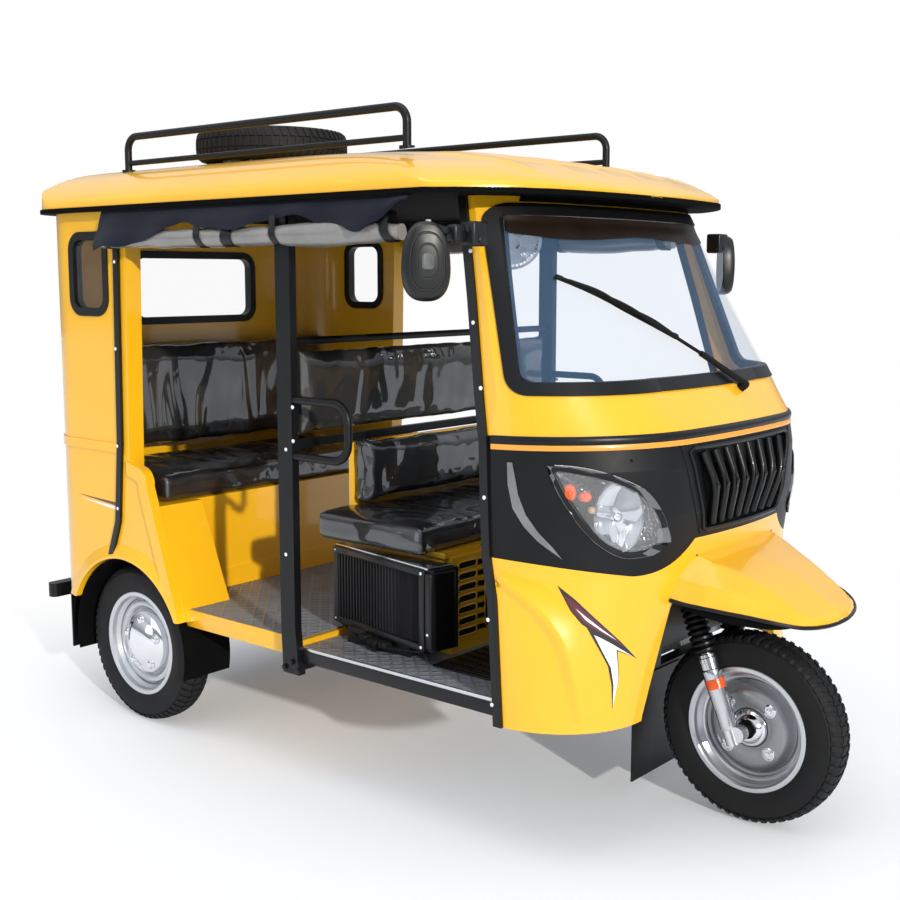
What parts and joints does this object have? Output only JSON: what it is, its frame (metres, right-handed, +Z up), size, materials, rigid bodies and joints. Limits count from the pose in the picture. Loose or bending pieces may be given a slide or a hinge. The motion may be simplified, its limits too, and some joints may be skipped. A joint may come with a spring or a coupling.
{
  "type": "auto rickshaw",
  "caption": "Three-wheeled auto rickshaw with a curved cab front, open-sided passenger cabin, padded bench, roof rails and a fork-steered front wheel.",
  "frame": {"origin": "on the ground under the middle of the vehicle's bounding box", "axes": "+X forward, +Y to the vehicle's left, +Z up"},
  "size_m": [2.8109, 1.6212, 2.0112],
  "materials": {
    "yellow_paint": "gloss",
    "black_paint": "satin",
    "frame_black": "satin",
    "mask_black": "matte",
    "steel": "satin",
    "silver": "satin",
    "cast": "rough",
    "tyre": "matte",
    "rubber": "matte",
    "glass": "gloss",
    "lamp": "gloss",
    "leather": "satin",
    "canvas": "matte",
    "floor_plate": "satin",
    "white": "satin",
    "aluminium": "satin"
  },
  "bodies": {
    "chassis": {"frame_rails": "frame_black", "frame_cross_members": "frame_black", "rear_suspension": "frame_black", "engine_block": "cast", "rear_bumper": "frame_black", "mudflaps": "rubber", "passenger_floor": "yellow_paint", "rear_wall": "yellow_paint", "side_panels": "yellow_paint", "quarter_panels": "yellow_paint", "wheel_housings": "yellow_paint", "cabin_window_seals": "rubber", "cabin_windows": "glass", "roof_shell": "yellow_paint", "roof_eave_and_ceiling": "black_paint", "roof_rails": "frame_black", "spare_tyre": "tyre", "spare_rim": "silver", "spare_wheel_carrier": "frame_black", "centre_posts": "frame_black", "partition_frame": "frame_black", "partition_pad": "leather", "bench_base": "yellow_paint", "bench_cushion": "leather", "bench_backrest": "leather", "driver_floor": "floor_plate", "driver_seat_box": "yellow_paint", "bulkhead_panel": "yellow_paint", "driver_cushion": "leather", "driver_backrest": "leather", "radiator": "aluminium", "cab_inner_panel": "black_paint", "cab_cowl": "yellow_paint", "nose_mask": "mask_black", "front_wings": "yellow_paint", "windscreen": "glass", "windscreen_seal": "rubber", "headlights": "lamp", "grille": "mask_black", "front_mudguard": "yellow_paint", "trim_strips": "black_paint", "mirrors": "mask_black", "side_curtains": "canvas", "wiper": "black_paint", "cab_fan": "white"},
    "steering": {"steering_fork": "steel", "fork_springs": "black_paint", "handlebar": "frame_black"},
    "front_wheel": {"front_tyre": "tyre", "front_rim": "silver"},
    "rear_left_wheel": {"rear_left_tyre": "tyre", "rear_left_rim": "silver"},
    "rear_right_wheel": {"rear_right_tyre": "tyre", "rear_right_rim": "silver"}
  },
  "joints": [
    {"name": "steering_turn", "type": "hinge", "parent": "chassis", "child": "steering", "pos_m": [0.9865, 0, 0.593], "axis": [-0.3633, 0, 0.9317], "range_deg": [-35, 35]},
    {"name": "front_wheel_spin", "type": "hinge", "parent": "steering", "child": "front_wheel", "pos_m": [1.1375, 0, 0.268], "axis": [0, 1, 0], "continuous": true},
    {"name": "rear_left_wheel_spin", "type": "hinge", "parent": "chassis", "child": "rear_left_wheel", "pos_m": [-0.8255, 0.567, 0.268], "axis": [0, 1, 0], "continuous": true},
    {"name": "rear_right_wheel_spin", "type": "hinge", "parent": "chassis", "child": "rear_right_wheel", "pos_m": [-0.8255, -0.567, 0.268], "axis": [0, 1, 0], "continuous": true}
  ]
}
